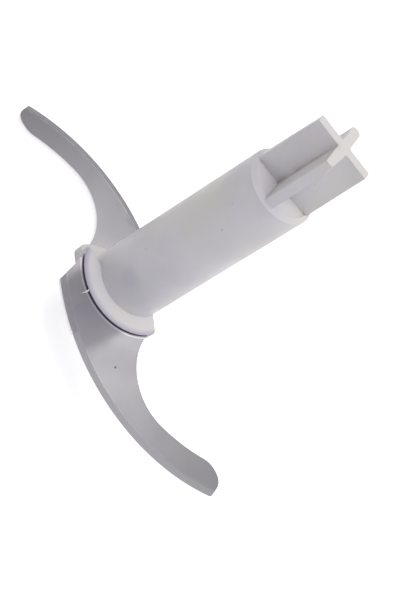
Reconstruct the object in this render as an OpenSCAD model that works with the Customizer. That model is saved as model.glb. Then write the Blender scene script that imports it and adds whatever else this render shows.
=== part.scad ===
// Food processor knife: a moulded hub with two identical steel blades, one low, one high.
// Origin at the middle of the hub's foot, +Z up along the drive axis, millimetres.
// The fins of the cross stand along X and Y. The upper blade reaches towards +X and -Y,
// the lower one is the same blade turned half a turn about the axis.

/* [Stem] */
// Outer diameter of the stem at the foot
stem_foot_d = 31.8; // [29:0.1:35]
// Outer diameter of the stem at the shoulder
stem_top_d = 28.6; // [27:0.1:31]
// Height of the shoulder above the foot
stem_h = 110; // [80:1:140]
// Diameter of the plain bore that slides over the drive spindle
bore_d = 24; // [18:0.1:25]
// Height of that bore
bore_h = 60; // [35:1:68]
// Diameter of the ribbed socket above it
socket_d = 22; // [16:0.1:23]
// Solid plastic between the end of the socket and the shoulder
socket_roof = 6; // [3:0.5:15]
// Number of drive ribs in the socket
rib_count = 4; // [2:1:6]
// Width of a drive rib
rib_w = 2.4; // [1.5:0.1:4]
// How far a drive rib stands in from the socket's wall
rib_depth = 1.4; // [0.8:0.1:3]
// Height of the socket's plain mouth below the ribs
rib_lead = 3; // [1:0.5:10]

/* [Crown] */
// Diameter of the flat top inside the shoulder's slope
crown_d = 25.2; // [22:0.1:26.5]
// Height of the slope between the shoulder and the flat top
crown_slope_h = 1.6; // [0.8:0.1:4]
// Width of the raised rim round the flat top
crown_rim_w = 0.5; // [0.3:0.1:1.5]
// Depth of the flat top below its rim
crown_dish = 0.4; // [0.2:0.1:1.2]

/* [Cross] */
// Height of the fins above the crown
fin_h = 27.4; // [15:0.5:40]
// Distance from the axis to the outer face of the fins along X, at their feet
fin_reach = 12.95; // [10:0.05:14]
// Distance from the axis to the outer face of the fins along Y
fin_reach_y = 13.3; // [10:0.05:14]
// Thickness of a fin
fin_t = 3.9; // [2.5:0.1:6]
// Lean of a fin's outer face towards the axis, in degrees
fin_draft = 1.5; // [0.5:0.1:3]
// How much the fourth fin's end radius exceeds half its thickness
round_over = 0.1; // [0.05:0.05:1]
// Radius in the upright corners between the fins
fin_root_r = 1; // [0.4:0.1:3]
// Width of the chip off one fin's top edge, at the fin's outer corner
chip_w = 1.2; // [0.5:0.1:1.8]
// How far that chip runs in along the top edge
chip_l = 8; // [3:0.5:8.5]
// How far it runs down the outer corner
chip_h = 5.5; // [3:0.5:12]

/* [Blade seats] */
// Diameter of the seat that the upper blade is moulded into
seat_d = 45.8; // [42:0.1:52]
// Diameter of the lower blade's seat
lower_seat_d = 49; // [45:0.1:54]
// Plastic under a blade, down to the seat's underside
seat_under = 2.45; // [1.5:0.05:4]
// From a blade's face to its seat's top
seat_cover = 1.5; // [1.4:0.05:3]
// Height of the slit between a blade and its seat's lip
slit_h = 0.4; // [0.3:0.05:0.6]
// Depth of that slit, in from the seat's edge
slit_depth = 1.6; // [0.6:0.1:2.5]
// Width over which the seat's top edge rounds down
lip_round_w = 2; // [1:0.1:2.2]
// Radius of that rounding
lip_round_r = 3.2; // [3:0.1:5]
// Distance from the axis to the upper seat's front end wall
seat_front = 7.3; // [6:0.1:9]
// Distance from the axis to the lower seat's front end wall
lower_front = 7.9; // [6:0.1:10]
// Direction that the front end wall faces, in degrees
seat_front_a = 45; // [40:0.5:50]
// Distance from the axis to the seat's back end wall
seat_back = 11.3; // [10.5:0.1:12]
// Direction that the back end wall faces away from, in degrees
seat_back_a = -102.3; // [-106:0.1:-100]
// Radius of the upright corner at the upper seat's front end wall
seat_corner_r = 1.2; // [0.5:0.1:2.5]
// Radius of that corner on the lower seat
lower_corner_r = 3; // [0.5:0.1:4]

/* [Blades] */
// Height of the upper blade above the lower one
blade_pitch = 21.45; // [14:0.05:30]
// Thickness of the steel sheet
sheet_t = 1; // [0.8:0.1:1.6]
// Radius of the cutting edge's arc
edge_r = 86.7; // [84:0.1:92]
// Place of that arc's centre, from the hub's axis
edge_centre = [39.2, 35.8];
// Width of the bevel ground on the upper side of the cutting edge
bevel_w = 2.6; // [1:0.1:4]
// Width of the bevel ground on its underside
under_bevel_w = 1; // [0.5:0.1:2]
// Thickness left at the cutting edge, halfway through the sheet
edge_t = 0.1; // [0.05:0.05:0.3]
// Sheet taken off outside the cutting edge where it is ground
grind_step = 0.3; // [0.2:0.05:1]
// Direction from the arc's centre to where the grinding starts, in degrees
grind_a = 240.8; // [236:0.1:246]
// Distance from the axis to the straight edge at the heel
heel_x = 20.5; // [19:0.1:21.5]
// Radius of the corner at the heel
heel_corner_r = 0.8; // [0.4:0.1:3]
// Radius of the throat, the inner curve by the hub
throat_r = 24.5; // [23:0.1:26]
// Place of the throat's centre, from the hub's axis
throat_centre = [43.3, -13];
// Radius of the long inner curve towards the tip
back_r = 78.8; // [70:0.1:88]
// Direction from the throat's centre to that curve's centre, in degrees
back_a = 96; // [94:0.1:98]
// How far the tip reaches along X
tip_x = 78.2; // [76:0.1:82]
// Radius of the crown of the tip
tip_crown_r = 10.4; // [9:0.1:12]
// Distance from the tip's end to the middle of its crown
tip_crown_back = 7.4; // [6.5:0.1:8.5]
// Radius of the nose, between the crown and the tip's end
tip_nose_r = 5; // [3.5:0.1:6]
// Radius of the corner where the tip's end meets the cutting edge
tip_corner_r = 1.5; // [0.8:0.1:2.5]
// Plastic left round the tang inside a seat
tang_margin = 1.2; // [0.8:0.1:2]
// Plastic between the tang and the bore
tang_wall = 1.9; // [1.2:0.1:2.6]
// Diameter of the holes that lock the tang in the plastic
lock_d = 2.8; // [2:0.1:3.4]
// Angles of those holes about the axis, in degrees
lock_angles = [-62, -90, -118];
// Room between the steel and the plastic round it
fit_gap = 0.1; // [0.05:0.05:0.2]

/* [Hidden] */
$fn = 96;
// How far joined or cut shapes reach into each other
bite = 1;
// How far an arc reaches past the line or arc that it touches, so that the two cross cleanly
lap = 0.002;
far = 200;

socket_z = stem_h - socket_roof;
crown_z = stem_h + crown_slope_h;
cross_z = crown_z - crown_dish;
top_z = crown_z + fin_h;
fin_lean = (top_z - cross_z) * tan(fin_draft);
seat_h = seat_under + sheet_t + seat_cover;
seat_r = seat_d / 2;
lower_seat_r = lower_seat_d / 2;
tang_r = bore_d / 2 + tang_wall;
lock_r = (seat_r + tang_r) / 2;

// The blade's arcs touch each other, so each centre follows from the one before.
blank_r = edge_r + grind_step;
back_centre = throat_centre + (back_r - throat_r) * heading(back_a);
crown_x = tip_x - tip_crown_back;
crown_centre = [
    crown_x,
    back_centre.y - leg(back_r + tip_crown_r, crown_x - back_centre.x)
];
nose_x = tip_x - tip_nose_r;
nose_centre = [
    nose_x,
    crown_centre.y + leg(tip_crown_r - tip_nose_r, nose_x - crown_x)
];
end_x = tip_x - tip_corner_r;
end_centre = [end_x, edge_centre.y - leg(edge_r - tip_corner_r, end_x - edge_centre.x)];
heel_centre = [
    heel_corner_r - heel_x,
    edge_centre.y - leg(blank_r - heel_corner_r, heel_corner_r - heel_x - edge_centre.x)
];
throat_end = throat_centre - throat_r * heading(back_a);
back_end = back_centre + back_r * unit(crown_centre - back_centre);

function heading(a) = [cos(a), sin(a)];
function unit(v) = v / norm(v);
function leg(hyp, side) = sqrt(hyp * hyp - side * side);
function turned(v) = [v.y, -v.x];

// Everything at least d from the axis in direction a
module beyond(a, d) {
    rotate(a) translate([d, -far]) square([far, 2 * far]);
}

// Everything on the hub's side of a seat's back end wall that is d from the axis
module behind(d) {
    rotate(seat_back_a) translate([d - far, -far]) square(far);
}

// Takes a corner off its children and puts an arc of radius r about c there.
// u and v point from c to where the arc meets the two sides.
module rounded_corner(c, r, u, v) {
    difference() {
        children();
        difference() {
            polygon([c, c + 4 * r * u, c + 4 * r * (u + v), c + 4 * r * v]);
            translate(c) circle(r = r + lap);
        }
    }
}

// Hub

// Plan of a seat of radius r, between its two end walls. The front one is that far from
// the axis and its upright corner has radius corner_r.
module seat_plan(r, front, corner_r) {
    wall = heading(seat_front_a);
    run = leg(r - corner_r, front - corner_r);
    corner = (front - corner_r) * wall + run * turned(wall);
    rounded_corner(corner, corner_r, wall, unit(corner)) difference() {
        circle(r = r);
        beyond(seat_front_a, front);
        behind(seat_back);
    }
}

// Half section of a seat of radius r, with its rounded lip
module seat_section(r) {
    flat_r = r - lip_round_w;
    translate([0, -bite]) {
        square([flat_r, seat_h + 2 * bite]);
        square([r, seat_h - lip_round_r + bite]);
    }
    intersection() {
        translate([flat_r, seat_h - lip_round_r]) circle(r = lip_round_r + lap);
        square([r, seat_h + bite]);
    }
}

module seat(r, front, corner_r) {
    intersection() {
        rotate_extrude() seat_section(r);
        linear_extrude(seat_h) seat_plan(r, front, corner_r);
    }
}

// What a blade and its slit take out of a seat of radius r
module tang_pocket(r) {
    translate([0, 0, seat_under - fit_gap]) linear_extrude(sheet_t + 2 * fit_gap)
        difference() {
            tang_plan(r, fit_gap);
            lock_holes(lock_d - 2 * fit_gap);
        }
    translate([0, 0, seat_under + sheet_t]) linear_extrude(slit_h) difference() {
        tang_plan(r, fit_gap);
        circle(r = r - slit_depth);
    }
}

module stem() {
    cylinder(d1 = stem_foot_d, d2 = stem_top_d, h = stem_h);
    translate([0, 0, stem_h]) difference() {
        cylinder(d1 = stem_top_d, d2 = crown_d, h = crown_slope_h);
        translate([0, 0, crown_slope_h - crown_dish])
            cylinder(d = crown_d - 2 * crown_rim_w, h = crown_dish + bite);
    }
}

module spindle_bore() {
    translate([0, 0, -bite]) cylinder(d = bore_d, h = bore_h + bite);
    cylinder(d = socket_d, h = socket_z);
}

module drive_ribs() {
    for (i = [0 : rib_count - 1])
        rotate(360 * i / rib_count)
            translate([socket_d / 2 - rib_depth, -rib_w / 2, bore_h + rib_lead])
                cube([rib_depth + bite, rib_w, socket_z - bore_h - rib_lead + bite]);
}

// A fin along +X. Its outer face is part of a cone, so it leans in with height.
module fin(reach) {
    intersection() {
        translate([0, 0, cross_z - bite]) cylinder(
            r1 = reach + bite * tan(fin_draft),
            r2 = reach - fin_lean,
            h = top_z - cross_z + bite
        );
        translate([0, -fin_t / 2, 0]) cube([far, fin_t, far]);
    }
}

// A fin along +X with an upright round end
module round_fin(reach) {
    end_r = fin_t / 2 + round_over;
    translate([0, 0, cross_z - bite]) linear_extrude(top_z - cross_z + bite) intersection() {
        translate([0, -fin_t / 2]) square([far, fin_t]);
        union() {
            translate([0, -fin_t]) square([reach - end_r, 2 * fin_t]);
            translate([reach - end_r, 0]) circle(r = end_r);
        }
    }
}

module fin_roots() {
    side = fin_t / 2 + fin_root_r;
    translate([0, 0, cross_z - bite]) linear_extrude(top_z - cross_z + bite) difference() {
        square(2 * side, center = true);
        for (x = [-side, side], y = [-side, side])
            translate([x, y]) circle(r = fin_root_r + lap);
    }
}

// Everything outside a plane that cuts the top edge of a fin along +X at a slant. It takes
// chip_w off the fin's outer corner and meets the fin's side at chip_l and chip_h from there.
module chip(reach) {
    slant = atan(chip_w / chip_l);
    translate([reach - fin_lean, fin_t / 2 - chip_w, top_z])
        rotate(-slant) rotate([atan(chip_w * cos(slant) / chip_h), 0, 0])
            translate([-far, 0, -far]) cube(2 * far);
}

// Three fins end square and the one along +Y ends round, so the knife seats one way only.
// The fin along -Y has a chip off its top edge.
module cross() {
    for (a = [0, 180]) rotate(a) fin(fin_reach);
    rotate(90) round_fin(fin_reach_y - fin_lean);
    rotate(-90) difference() {
        fin(fin_reach_y);
        chip(fin_reach_y);
    }
    fin_roots();
}

module hub() {
    color("whitesmoke") {
        difference() {
            union() {
                stem();
                cross();
                rotate(180) seat(lower_seat_r, lower_front, lower_corner_r);
                translate([0, 0, blade_pitch]) seat(seat_r, seat_front, seat_corner_r);
            }
            spindle_bore();
            rotate(180) tang_pocket(lower_seat_r);
            translate([0, 0, blade_pitch]) tang_pocket(seat_r);
        }
        drive_ribs();
    }
}

// Blades

// What the steel keeps clear of on the hub's side: the throat, the bore's wall and the
// seat's two end walls. A gap g makes room all round the steel.
module hub_side(g) {
    translate(throat_centre) circle(r = throat_r - g);
    circle(r = tang_r - g);
    behind(seat_back + tang_margin - g);
    intersection() {
        beyond(seat_front_a, seat_front - tang_margin + g);
        translate([-far, throat_centre.y]) square([far + throat_centre.x, far]);
    }
}

// The part of the sheet that a seat of radius r holds, with a gap g all round
module tang_plan(r, g) {
    difference() {
        intersection() {
            circle(r = r + bite);
            beyond(0, -heel_x - g);
            beyond(-90, 0);
        }
        hub_side(g);
    }
}

module lock_holes(d) {
    for (a = lock_angles) translate(lock_r * heading(a)) circle(d = d);
}

// Everything on the hub's side of the rounded tip, below the long inner curve
module tip_plan() {
    translate([-far, -far]) square([far + back_end.x, 2 * far]);
    intersection() {
        translate(crown_centre) circle(r = tip_crown_r + 2 * lap);
        translate(crown_centre) rotate(atan2(nose_centre.y - crown_centre.y, nose_x - crown_x))
            translate([-far, 0]) square([2 * far, far]);
    }
    translate(nose_centre) circle(r = tip_nose_r + 3 * lap);
    translate([back_end.x - bite, -far]) square([tip_x - back_end.x + bite, far + nose_centre.y]);
}

module blade_plan() {
    rounded_corner(end_centre, tip_corner_r, [1, 0], unit(end_centre - edge_centre))
        rounded_corner(heel_centre, heel_corner_r, [-1, 0], unit(heel_centre - edge_centre))
            difference() {
                intersection() {
                    translate(edge_centre) circle(r = blank_r);
                    beyond(0, -heel_x);
                    beyond(-90, 0);
                    tip_plan();
                }
                hub_side(0);
                intersection() {
                    translate(back_centre) circle(r = back_r - lap);
                    translate([throat_end.x, -far]) square([far, 2 * far]);
                }
                lock_holes(lock_d);
            }
}

// What grinding takes off one side: a cone about the edge's arc, from the kink to the tip
module grinding(w) {
    edge_z = (sheet_t + edge_t) / 2;
    translate(edge_centre) intersection() {
        difference() {
            translate([0, 0, sheet_t / 2]) cylinder(r = far, h = sheet_t);
            cylinder(r = edge_r, h = edge_z);
            translate([0, 0, edge_z]) cylinder(
                r1 = edge_r,
                r2 = edge_r - 2 * w,
                h = sheet_t - edge_t
            );
        }
        rotate(grind_a + 90) translate([0, -far, -far]) cube(2 * far);
    }
}

module blade() {
    difference() {
        linear_extrude(sheet_t) blade_plan();
        grinding(bevel_w);
        translate([0, 0, sheet_t]) mirror([0, 0, 1]) grinding(under_bevel_w);
    }
}

module upper_blade() {
    color("silver") translate([0, 0, blade_pitch + seat_under]) blade();
}

module lower_blade() {
    color("silver") rotate(180) translate([0, 0, seat_under]) blade();
}

hub();
upper_blade();
lower_blade();
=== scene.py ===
import math

import bpy
from mathutils import Matrix, Vector


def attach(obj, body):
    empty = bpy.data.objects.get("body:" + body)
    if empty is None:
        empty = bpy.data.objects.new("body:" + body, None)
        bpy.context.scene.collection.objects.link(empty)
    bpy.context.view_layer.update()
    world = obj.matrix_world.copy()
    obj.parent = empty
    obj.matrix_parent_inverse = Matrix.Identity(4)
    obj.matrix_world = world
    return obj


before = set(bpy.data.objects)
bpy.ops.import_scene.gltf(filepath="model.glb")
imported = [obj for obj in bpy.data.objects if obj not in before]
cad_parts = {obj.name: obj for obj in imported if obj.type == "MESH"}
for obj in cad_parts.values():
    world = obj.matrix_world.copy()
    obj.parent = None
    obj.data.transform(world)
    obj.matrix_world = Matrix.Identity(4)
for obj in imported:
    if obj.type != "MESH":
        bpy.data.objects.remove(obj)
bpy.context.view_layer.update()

print("knife loaded:", ", ".join(sorted(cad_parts)))

mm = 0.001


# Adds a shader node, sets its options and fills its inputs. A value that is a socket is linked.
def addNode(tree, kind, inputs=None, **options):
    node = tree.nodes.new(kind)
    for name, value in options.items():
        setattr(node, name, value)
    for key, value in (inputs or {}).items():
        if isinstance(value, bpy.types.NodeSocket):
            tree.links.new(value, node.inputs[key])
        else:
            node.inputs[key].default_value = value
    return node


def doMath(tree, operation, a, b=0.0, clamp=False):
    return addNode(tree, "ShaderNodeMath", {0: a, 1: b}, operation=operation, use_clamp=clamp).outputs[0]


def doVector(tree, operation, a, b=(0, 0, 0)):
    node = addNode(tree, "ShaderNodeVectorMath", {0: a, 1: b}, operation=operation)
    return node.outputs["Value" if operation in ("DOT_PRODUCT", "DISTANCE", "LENGTH") else "Vector"]


# Reads a value between two ends as a share between two results
def ramp(tree, value, fromLow, fromHigh, toLow=0.0, toHigh=1.0, smooth=True):
    return addNode(
        tree,
        "ShaderNodeMapRange",
        {"Value": value, "From Min": fromLow, "From Max": fromHigh, "To Min": toLow, "To Max": toHigh},
        interpolation_type="SMOOTHSTEP" if smooth else "LINEAR",
    ).outputs["Result"]


def mixColour(tree, share, a, b, blend="MIX"):
    node = addNode(tree, "ShaderNodeMix", data_type="RGBA", blend_type=blend)
    for key, value in ((0, share), (6, a), (7, b)):
        if isinstance(value, bpy.types.NodeSocket):
            tree.links.new(value, node.inputs[key])
        else:
            node.inputs[key].default_value = value
    return node.outputs[2]


# Noise in millimetres: size is how wide its lumps are, stretch makes them longer along an axis
def grainNoise(tree, place, size, detail=3.0, stretch=(1, 1, 1), roughness=0.5):
    scaled = doVector(tree, "MULTIPLY", place, tuple(1 / (size * s) for s in stretch))
    return addNode(
        tree,
        "ShaderNodeTexNoise",
        {"Vector": scaled, "Scale": 1.0, "Detail": detail, "Roughness": roughness},
    ).outputs["Fac"]


# A material with its shader, and the place on the object in millimetres
def startMaterial(name):
    material = bpy.data.materials.new(name)
    material.use_nodes = True
    tree = material.node_tree
    shader = tree.nodes["Principled BSDF"]
    here = addNode(tree, "ShaderNodeTexCoord").outputs["Object"]
    place = doVector(tree, "MULTIPLY", here, (1000, 1000, 1000))
    return material, tree, shader, place


def bumpChain(tree, start, layers):
    normal = start
    for height, depth in layers:
        normal = addNode(
            tree,
            "ShaderNodeBump",
            {"Height": height, "Distance": depth * mm, "Strength": 1.0, "Normal": normal},
        ).outputs["Normal"]
    return normal


# 1 where the camera or a reflection looks, 0 for the light that falls on things
def lookedAt(tree):
    seen = addNode(tree, "ShaderNodeLightPath").outputs
    mirrored = doMath(tree, "MAXIMUM", seen["Is Glossy Ray"], seen["Is Transmission Ray"])
    return doMath(tree, "MAXIMUM", seen["Is Camera Ray"], mirrored)


# 1 in the middle of a round mark and 0 from its reach outwards
def markShare(tree, place, mark):
    away = doVector(tree, "DISTANCE", place, mark["at"])
    return ramp(tree, away, mark["reach"] * mark.get("core", 0.2), mark["reach"], mark["share"], 0.0)


# 1 on a thin ring about a middle and 0 beside it
def ringShare(tree, reach, radius, width):
    off = doMath(tree, "ABSOLUTE", doMath(tree, "SUBTRACT", reach, radius))
    return ramp(tree, off, width * 0.25, width * 0.75, 1.0, 0.0)


# The hub: white plastic as it leaves the mould, a little dull, with light wear
hubLook = {
    "pale": (0.83, 0.82, 0.845, 1),
    "shade": (0.79, 0.775, 0.805, 1),
    "yellowed": (0.83, 0.81, 0.765, 1),
    # Tone of the dark specks, and of the painted shade in the corners
    "specksAndCornerShade": (0.56, 0.50, 0.46, 1),
    "cornerShadeReach": 1.6,
    "cornerShadeShare": 0.26,
    "tightCornerShadeTone": (0.20, 0.12, 0.09, 1),  # painted shade, reddish, in the tightest corners
    "tightCornerShadeReach": 0.5,
    "tightCornerShadeShare": 0.16,
    # Painted shadow: near black deep in the slit under the seat's lip
    "slitShadowTone": (0.03, 0.025, 0.045, 1),
    "softEdge": 0.45,
    "rimFrom": 20.4,  # painted shade on the upper seat's rounded rim, from here outwards
    "rimTo": 22.8,
    "rimAbove": 20.5,
    "rimShadeTone": (0.55, 0.525, 0.62, 1),
    "rimShadeShare": 0.85,
    "finCornerAt": (-2.1, -2.1, 0.0),  # painted shade, brownish, down the corner between two fins
    "finCornerAbove": 111.0,
    "finCornerShadeReach": 2.6,
    "finCornerShadeTone": (0.42, 0.33, 0.31, 1),
    "dullest": 0.52,
    "glossiest": 0.36,
    "speckSize": 0.09,
    "scuffAt": (5.2, -1.95, 121.0),
    "scuffReach": 3.4,
    "scuffTone": (0.66, 0.65, 0.69, 1),
    "marks": [
        {"at": (-4.1, -14.7, 40.0), "reach": 6.5, "tone": (0.60, 0.60, 0.67, 1), "share": 0.36},  # painted shade on the stem near the upper seat
        {"at": (-1.2, -14.55, 89.6), "reach": 0.6, "tone": (0.34, 0.31, 0.32, 1), "share": 0.34},
        {"at": (-6.6, -12.87, 99.1), "reach": 0.55, "tone": (0.36, 0.33, 0.32, 1), "share": 0.3},
        {"at": (-9.55, -11.73, 53.4), "reach": 0.55, "tone": (0.36, 0.33, 0.32, 1), "share": 0.3},
    ],
}


def makeHubPlastic(name, look):
    material, tree, shader, place = startMaterial(name)
    clouds = grainNoise(tree, place, 17, detail=4)
    orangePeel = grainNoise(tree, place, 0.9, detail=2)
    mouldGrain = grainNoise(tree, place, 0.16, detail=2)
    drawLines = grainNoise(tree, place, 0.35, detail=2, stretch=(1, 1, 60))
    colour = mixColour(tree, ramp(tree, clouds, 0.35, 0.65), look["pale"], look["shade"])
    ageing = grainNoise(tree, place, 26, detail=3, stretch=(1, 1, 1.6))
    colour = mixColour(tree, ramp(tree, ageing, 0.42, 0.62, 0.0, 0.8), colour, look["yellowed"])

    # Dark specks in the plastic, few and tiny
    cells = addNode(tree, "ShaderNodeTexVoronoi", {"Vector": place, "Scale": 0.16, "Randomness": 1.0})
    speckOn = doMath(tree, "LESS_THAN", cells.outputs["Distance"], look["speckSize"] * 0.16)
    speckPick = doMath(
        tree, "GREATER_THAN", addNode(tree, "ShaderNodeSeparateColor", {0: cells.outputs["Color"]}).outputs[0], 0.55
    )
    speck = doMath(tree, "MULTIPLY", doMath(tree, "MULTIPLY", speckOn, speckPick), 0.55)
    colour = mixColour(tree, speck, colour, look["specksAndCornerShade"])

    # Short scuffs rubbed into the face of one fin
    fromScuff = doVector(tree, "DISTANCE", place, look["scuffAt"])
    strokes = grainNoise(tree, place, 0.55, detail=3, stretch=(0.5, 1, 1.9), roughness=0.7)
    strokeOn = ramp(tree, strokes, 0.54, 0.62)
    scuff = doMath(tree, "MULTIPLY", strokeOn, ramp(tree, fromScuff, 0.4, look["scuffReach"], 1.0, 0.0))
    colour = mixColour(tree, doMath(tree, "MULTIPLY", scuff, 0.8), colour, look["scuffTone"])

    # Painted shade: darker and brownish in the corners, broken up in patches
    corner = addNode(
        tree, "ShaderNodeAmbientOcclusion", {"Distance": look["cornerShadeReach"] * mm}, samples=6, only_local=True
    ).outputs["AO"]
    patches = ramp(tree, grainNoise(tree, place, 4.5, detail=4), 0.3, 0.7, 0.4, 1.0)
    specksAndCornerShade = doMath(tree, "MULTIPLY", ramp(tree, corner, 0.25, 0.85, look["cornerShadeShare"], 0.0), patches)
    colour = mixColour(tree, specksAndCornerShade, colour, look["specksAndCornerShade"])
    # Painted shade, reddish, in the tightest corners
    tight = addNode(
        tree, "ShaderNodeAmbientOcclusion", {"Distance": look["tightCornerShadeReach"] * mm}, samples=6, only_local=True
    ).outputs["AO"]
    tightCornerShade = doMath(tree, "MULTIPLY", ramp(tree, tight, 0.35, 0.8, look["tightCornerShadeShare"], 0.0), patches)
    colour = mixColour(tree, tightCornerShade, colour, look["tightCornerShadeTone"])
    # Painted shadow: near black deep in the slit under the seat's lip
    colour = mixColour(tree, ramp(tree, corner, 0.1, 0.3, 0.92, 0.0), colour, look["slitShadowTone"])
    # Marks: the first is painted shade on the stem, the others small dark dots
    for mark in look["marks"]:
        colour = mixColour(tree, markShare(tree, place, mark), colour, mark["tone"])

    fromAxis = doVector(tree, "LENGTH", doVector(tree, "MULTIPLY", place, (1, 1, 0)))
    height = addNode(tree, "ShaderNodeSeparateXYZ", {0: place}).outputs["Z"]
    # Painted shade, darker and violet, on the upper seat's rounded rim
    onRim = doMath(
        tree,
        "MULTIPLY",
        ramp(tree, fromAxis, look["rimFrom"], look["rimTo"], 0.0, look["rimShadeShare"]),
        ramp(tree, height, look["rimAbove"] - 0.5, look["rimAbove"]),
    )
    colour = mixColour(tree, onRim, colour, look["rimShadeTone"])
    # Painted shade, brownish, down the corner between two fins, high up on the cross
    inPlan = doVector(tree, "MULTIPLY", doVector(tree, "SUBTRACT", place, look["finCornerAt"]), (1, 1, 0))
    aside = doVector(tree, "LENGTH", inPlan)
    wide = ramp(tree, aside, 0.3, look["finCornerShadeReach"], 0.34, 0.0)
    line = ramp(tree, aside, 0.3, 0.85, 0.62, 0.0)
    finCornerShade = doMath(tree, "MULTIPLY", doMath(tree, "ADD", wide, line), patches)
    finCornerShade = doMath(tree, "MULTIPLY", finCornerShade, ramp(tree, height, look["finCornerAbove"] - 1, look["finCornerAbove"] + 1))
    colour = mixColour(tree, finCornerShade, colour, look["finCornerShadeTone"])

    rubbed = doMath(tree, "MAXIMUM", clouds, scuff)
    tree.links.new(colour, shader.inputs["Base Color"])
    tree.links.new(
        ramp(tree, rubbed, 0.3, 0.75, look["glossiest"], look["dullest"]), shader.inputs["Roughness"]
    )
    shader.inputs["IOR"].default_value = 1.49
    softened = addNode(tree, "ShaderNodeBevel", {"Radius": look["softEdge"] * mm}, samples=6).outputs["Normal"]
    normal = bumpChain(
        tree,
        softened,
        [(clouds, 0.25), (drawLines, 0.004), (orangePeel, 0.010), (mouldGrain, 0.003), (scuff, -0.03)],
    )
    tree.links.new(normal, shader.inputs["Normal"])
    return material


# The blades: satin steel sheet, its cutting edge ground on a wheel
bladeLook = {
    "steel": (0.61, 0.60, 0.62, 1),
    "stained": (0.575, 0.565, 0.595, 1),
    "ground": (0.59, 0.585, 0.60, 1),
    "bright": (0.93, 0.93, 0.95, 1),
    # Painted shadow: the steel goes near black close to the hub
    "seamShadow": (0.05, 0.045, 0.06, 1),
    "seamShadowReach": 1.0,
    "sheetRough": 0.225,
    "sheetSmooth": 0.20,
    "groundRough": 0.36,
    "softEdge": 0.22,
    "edgeCentre": (39.2, 35.8),
    "edgeRadius": 86.7,
    "groundWidth": 2.6,
    "burrRadius": 83.7,  # a fine raised line just inside the ground band
    "burrWidth": 0.34,
    "burrShare": 0.4,
    "lipReflectionRadius": 23.95,  # a bright ring beside the seat's lip: painted reflection of the lip
    "lipReflectionWidth": 0.5,
    "lipReflectionShare": 0.95,
}
lowerLook = dict(bladeLook, ground=(0.40, 0.395, 0.42, 1), burrShare=0.9)  # painted shade: the lower blade's ground band is darker
upperMarks = [
    {"at": (17.2, -35.47, 24.9), "reach": 0.5, "tone": (0.006, 0.005, 0.007, 1), "share": 1.0, "core": 0.7},  # pit
    {"at": (17.2, -35.47, 24.9), "reach": 0.95, "tone": (0.46, 0.45, 0.47, 1), "share": 0.4},
    {"at": (-3.8, -39.9, 24.9), "reach": 0.6, "tone": (0.93, 0.93, 0.95, 1), "share": 0.9},  # nick at the heel
]
lowerMarks = [
    {"at": (-12.4, 45.4, 3.45), "reach": 6.5, "tone": (0.43, 0.425, 0.45, 1), "share": 0.6},  # dark near the seat
]


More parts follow.
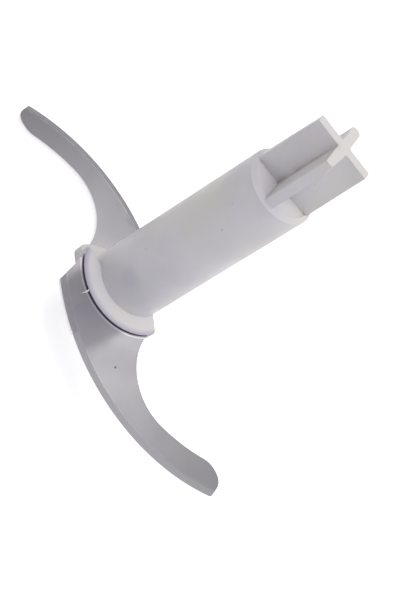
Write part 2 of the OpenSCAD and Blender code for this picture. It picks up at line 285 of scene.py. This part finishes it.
def makeBladeSteel(name, look, turned, marks):
    material, tree, shader, place = startMaterial(name)
    side = -1 if turned else 1
    middle = (side * look["edgeCentre"][0], side * look["edgeCentre"][1], 0)
    fromMiddle = doVector(tree, "SUBTRACT", place, middle)
    flat = doVector(tree, "MULTIPLY", fromMiddle, (1, 1, 0))
    reach = doVector(tree, "LENGTH", flat)
    parts = addNode(tree, "ShaderNodeSeparateXYZ", {0: fromMiddle})
    around = doMath(tree, "ARCTAN2", parts.outputs["Y"], parts.outputs["X"])
    alongEdge = doMath(tree, "MULTIPLY", around, look["edgeRadius"])

    # The ground band, and the wheel's lines across it
    bandStart = look["edgeRadius"] - look["groundWidth"]
    onBand = ramp(tree, reach, bandStart - 0.08, bandStart + 0.12)
    polar = addNode(tree, "ShaderNodeCombineXYZ", {"X": alongEdge, "Y": reach, "Z": parts.outputs["Z"]}).outputs[0]
    wheelLines = grainNoise(tree, polar, 0.12, detail=3, stretch=(1, 14, 8), roughness=0.65)
    wheelShade = grainNoise(tree, polar, 1.4, detail=2, stretch=(1, 4, 4))

    rolledGrain = grainNoise(tree, place, 0.07, detail=3, stretch=(90, 1, 1), roughness=0.6)
    clouds = grainNoise(tree, place, 14, detail=2, roughness=0.4)
    waterMarks = ramp(tree, grainNoise(tree, place, 3.2, detail=4), 0.52, 0.66)
    hairlines = addNode(
        tree,
        "ShaderNodeTexVoronoi",
        {"Vector": doVector(tree, "MULTIPLY", place, (0.012, 0.5, 0.5)), "Scale": 1.0, "Randomness": 1.0},
        feature="DISTANCE_TO_EDGE",
    ).outputs["Distance"]
    scratch = ramp(tree, hairlines, 0.0, 0.012, 1.0, 0.0)

    colour = mixColour(tree, ramp(tree, clouds, 0.35, 0.7), look["steel"], look["stained"])
    colour = mixColour(tree, doMath(tree, "MULTIPLY", waterMarks, 0.15), colour, look["stained"])
    groundTone = mixColour(tree, ramp(tree, wheelShade, 0.3, 0.7, 0.0, 0.25), look["ground"], look["steel"])
    colour = mixColour(tree, onBand, colour, groundTone)
    rough = ramp(tree, clouds, 0.3, 0.7, look["sheetSmooth"], look["sheetRough"])
    rough = doMath(tree, "ADD", rough, doMath(tree, "MULTIPLY", ramp(tree, rolledGrain, 0.3, 0.7), 0.03))
    rough = doMath(tree, "ADD", rough, doMath(tree, "MULTIPLY", onBand, look["groundRough"] - look["sheetRough"]))

    # Bright fine lines: the burr inside the ground band, broken up, and a painted reflection of the seat's lip
    broken = ramp(tree, grainNoise(tree, polar, 1.1, detail=2), 0.42, 0.58, 0.25, 1.0)
    burr = doMath(tree, "MULTIPLY", ringShare(tree, reach, look["burrRadius"], look["burrWidth"]), broken)
    colour = mixColour(tree, doMath(tree, "MULTIPLY", burr, look["burrShare"]), colour, look["bright"])
    fromAxis = doVector(tree, "LENGTH", doVector(tree, "MULTIPLY", place, (1, 1, 0)))
    lipReflection = ringShare(tree, fromAxis, look["lipReflectionRadius"], look["lipReflectionWidth"])
    colour = mixColour(tree, doMath(tree, "MULTIPLY", lipReflection, look["lipReflectionShare"]), colour, look["bright"])
    for mark in marks:
        colour = mixColour(tree, markShare(tree, place, mark), colour, mark["tone"])
    # Painted shadow: the steel goes near black close to the hub, in the gap under the seat's lip
    seamShadow = addNode(tree, "ShaderNodeAmbientOcclusion", {"Distance": look["seamShadowReach"] * mm}, samples=6).outputs["AO"]
    colour = mixColour(tree, ramp(tree, seamShadow, 0.25, 0.65, 0.9, 0.0), colour, look["seamShadow"])

    tree.links.new(colour, shader.inputs["Base Color"])
    tree.links.new(rough, shader.inputs["Roughness"])
    shader.inputs["Metallic"].default_value = 1.0
    softened = addNode(tree, "ShaderNodeBevel", {"Radius": look["softEdge"] * mm}, samples=6).outputs["Normal"]
    sheetOnly = doMath(tree, "SUBTRACT", 1.0, onBand)
    normal = bumpChain(
        tree,
        softened,
        [
            (clouds, 0.007),
            (doMath(tree, "MULTIPLY", rolledGrain, sheetOnly), 0.0007),
            (doMath(tree, "MULTIPLY", wheelLines, onBand), 0.004),
            (scratch, -0.0006),
        ],
    )
    tree.links.new(normal, shader.inputs["Normal"])
    return material


def paint(nodeName, material):
    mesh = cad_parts[nodeName].data
    mesh.materials.clear()
    mesh.materials.append(material)


paint("hub", makeHubPlastic("mouldedWhitePlastic", hubLook))
paint("upper_blade", makeBladeSteel("satinSteelUpper", bladeLook, turned=False, marks=upperMarks))
paint("lower_blade", makeBladeSteel("satinSteelLower", lowerLook, turned=True, marks=lowerMarks))
print("materials on")

# A thread of plastic flash left hanging from the seat's lip across the slit, in millimetres
flashThread = {
    "line": [(-9.95, -20.6, 25.6), (-10.05, -21.5, 25.75), (-10.3, -22.6, 25.6), (-10.7, -23.6, 25.25),
             (-11.15, -24.6, 25.02)],
    "widths": [0.66, 0.66, 0.62, 0.48, 0.14],
    "thickness": 0.3,
    # Painted highlight: the flash's plastic is the hub's made paler so the thread shows bright, without the painted
    # rim shade
    "plastic": dict(hubLook, pale=(0.95, 0.95, 0.96, 1), shade=(0.93, 0.93, 0.94, 1), rimShadeShare=0.0),
}


def makeFlashThread(look):
    rings = []
    line = [Vector(p) for p in look["line"]]
    for i, point in enumerate(line):
        ahead = (line[min(i + 1, len(line) - 1)] - line[max(i - 1, 0)]).normalized()
        across = ahead.cross(Vector((0, 0, 1))).normalized()
        up = across.cross(ahead)
        ring = []
        for k in range(8):
            turn = math.tau * k / 8
            ring.append(
                (point + across * math.cos(turn) * look["widths"][i] / 2
                 + up * math.sin(turn) * look["thickness"] / 2 * (look["widths"][i] / look["widths"][0])) * mm
            )
        rings.append(ring)
    points = [p for ring in rings for p in ring]
    faces = [
        (i * 8 + k, i * 8 + (k + 1) % 8, (i + 1) * 8 + (k + 1) % 8, (i + 1) * 8 + k)
        for i in range(len(rings) - 1)
        for k in range(8)
    ]
    last = (len(rings) - 1) * 8
    faces.append(tuple(reversed(range(8))))
    faces.append(tuple(range(last, last + 8)))
    mesh = bpy.data.meshes.new("flashThread")
    mesh.from_pydata(points, [], faces)
    thread = bpy.data.objects.new("flashThread", mesh)
    bpy.context.scene.collection.objects.link(thread)
    mesh.polygons.foreach_set("use_smooth", [True] * len(mesh.polygons))
    mesh.materials.append(makeHubPlastic("flashPaintedPale", look["plastic"]))
    smoother = thread.modifiers.new("roundThread", "SUBSURF")
    smoother.levels = smoother.render_levels = 2
    return thread


thread = makeFlashThread(flashThread)
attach(thread, "root")
print("flash thread made")

# Floor: pale, and white where the camera or the steel looks at it, with the soft shadow kept
floorLook = {"size": 6.0, "tone": (0.86, 0.86, 0.87, 1), "whiteness": 0.62}


def makeFloor(look):
    half = look["size"] / 2
    mesh = bpy.data.meshes.new("floor")
    mesh.from_pydata([(-half, -half, 0), (half, -half, 0), (half, half, 0), (-half, half, 0)], [], [(0, 1, 2, 3)])
    floor = bpy.data.objects.new("floor", mesh)
    bpy.context.scene.collection.objects.link(floor)
    material, tree, shader, place = startMaterial("paleFloor")
    grain = grainNoise(tree, place, 2.0, detail=3)
    tone = mixColour(tree, ramp(tree, grain, 0.3, 0.7, 0.0, 0.05), look["tone"], (0.8, 0.8, 0.8, 1))
    tree.links.new(tone, shader.inputs["Base Color"])
    shader.inputs["Roughness"].default_value = 0.9
    shader.inputs["Specular IOR Level"].default_value = 0.1
    shader.inputs["Emission Color"].default_value = (1, 1, 1, 1)
    glow = doMath(tree, "MULTIPLY", lookedAt(tree), look["whiteness"])
    tree.links.new(glow, shader.inputs["Emission Strength"])
    mesh.materials.append(material)
    return floor


floor = makeFloor(floorLook)

# Studio: an even pale room, brighter in a few soft patches. Directions in degrees, from +X
# round to +Y, and up from the floor; spread is how fast a patch fades.
studio = {
    "room": (0.17, 0.17, 0.18),
    "backdropFades": (22, 34),
    "patches": [
        {"azimuth": 0, "elevation": 90, "spread": 8.0, "light": (0.69, 0.64, 0.72)},
        {"azimuth": 0, "elevation": 30, "spread": 3.0, "light": (0.43, 0.45, 0.38)},
        {"azimuth": 315, "elevation": 30, "spread": 3.0, "light": (0.20, 0.19, 0.29)},
        {"azimuth": 78.6, "elevation": 48.5, "spread": 140.0, "light": (1.17, 1.14, 1.15)},
    ],
}


def lightStudio(look):
    world = bpy.data.worlds.new("studio")
    bpy.context.scene.world = world
    world.use_nodes = True
    tree = world.node_tree
    direction = addNode(tree, "ShaderNodeTexCoord").outputs["Generated"]
    light = (*look["room"], 1)
    for patch in look["patches"]:
        round_, up = math.radians(patch["azimuth"]), math.radians(patch["elevation"])
        middle = (math.cos(up) * math.cos(round_), math.cos(up) * math.sin(round_), math.sin(up))
        facing = doMath(tree, "MAXIMUM", doVector(tree, "DOT_PRODUCT", direction, middle), 0.0)
        glow = doMath(tree, "POWER", facing, patch["spread"])
        scaled = addNode(
            tree, "ShaderNodeVectorMath", {0: patch["light"], "Scale": glow}, operation="SCALE"
        ).outputs["Vector"]
        light = doVector(tree, "ADD", light[:3] if isinstance(light, tuple) else light, scaled)

    # The white backdrop stands low around the object and fades out higher up
    low, high = (math.sin(math.radians(a)) for a in look["backdropFades"])
    height = addNode(tree, "ShaderNodeSeparateXYZ", {0: direction}).outputs["Z"]
    backdrop = doMath(tree, "MULTIPLY", lookedAt(tree), ramp(tree, height, low, high, 1.0, 0.0))
    light = mixColour(tree, backdrop, light, (1, 1, 1, 1))
    background = tree.nodes["Background"]
    tree.links.new(light, background.inputs["Color"])
    background.inputs["Strength"].default_value = 1.0


lightStudio(studio)

# One wide lamp straight overhead. It is kept out of the steel's reflections, which the room's patches make.
overhead = {"strength": 1.32, "colour": (1.0, 0.985, 0.93), "width": 50}


def hangLamp(look):
    data = bpy.data.lights.new("overheadLamp", "SUN")
    data.energy = look["strength"]
    data.color = look["colour"]
    data.angle = math.radians(look["width"])
    lamp = bpy.data.objects.new("overheadLamp", data)
    lamp.visible_glossy = False
    bpy.context.scene.collection.objects.link(lamp)


hangLamp(overhead)
print("studio lit")

# Camera: fitted to the stem, the seats, the cross and both blades
cameraView = {
    "place": (-0.05936, -0.29706, 0.33093),
    "right": (0.6309197, 0.44119152, 0.63819306),
    "down": (0.75198978, -0.55016599, -0.3630823),
    "ahead": (0.19092328, 0.70899043, -0.67888207),
    "focalPixels": 1100.0,
    "imageWidth": 401.0,
    "sensor": 36.0,
}


def placeCamera(look):
    data = bpy.data.cameras.new("camera")
    camera = bpy.data.objects.new("camera", data)
    bpy.context.scene.collection.objects.link(camera)
    right, down, ahead = (Vector(look[k]) for k in ("right", "down", "ahead"))
    turn = Matrix((right, -down, -ahead)).transposed().to_4x4()
    camera.matrix_world = Matrix.Translation(look["place"]) @ turn
    data.sensor_fit = "HORIZONTAL"
    data.sensor_width = look["sensor"]
    data.lens = look["focalPixels"] * look["sensor"] / look["imageWidth"]
    data.clip_start = 0.01
    data.clip_end = 50
    bpy.context.scene.camera = camera


placeCamera(cameraView)
bpy.context.scene.view_settings.view_transform = "Standard"
print("camera placed")
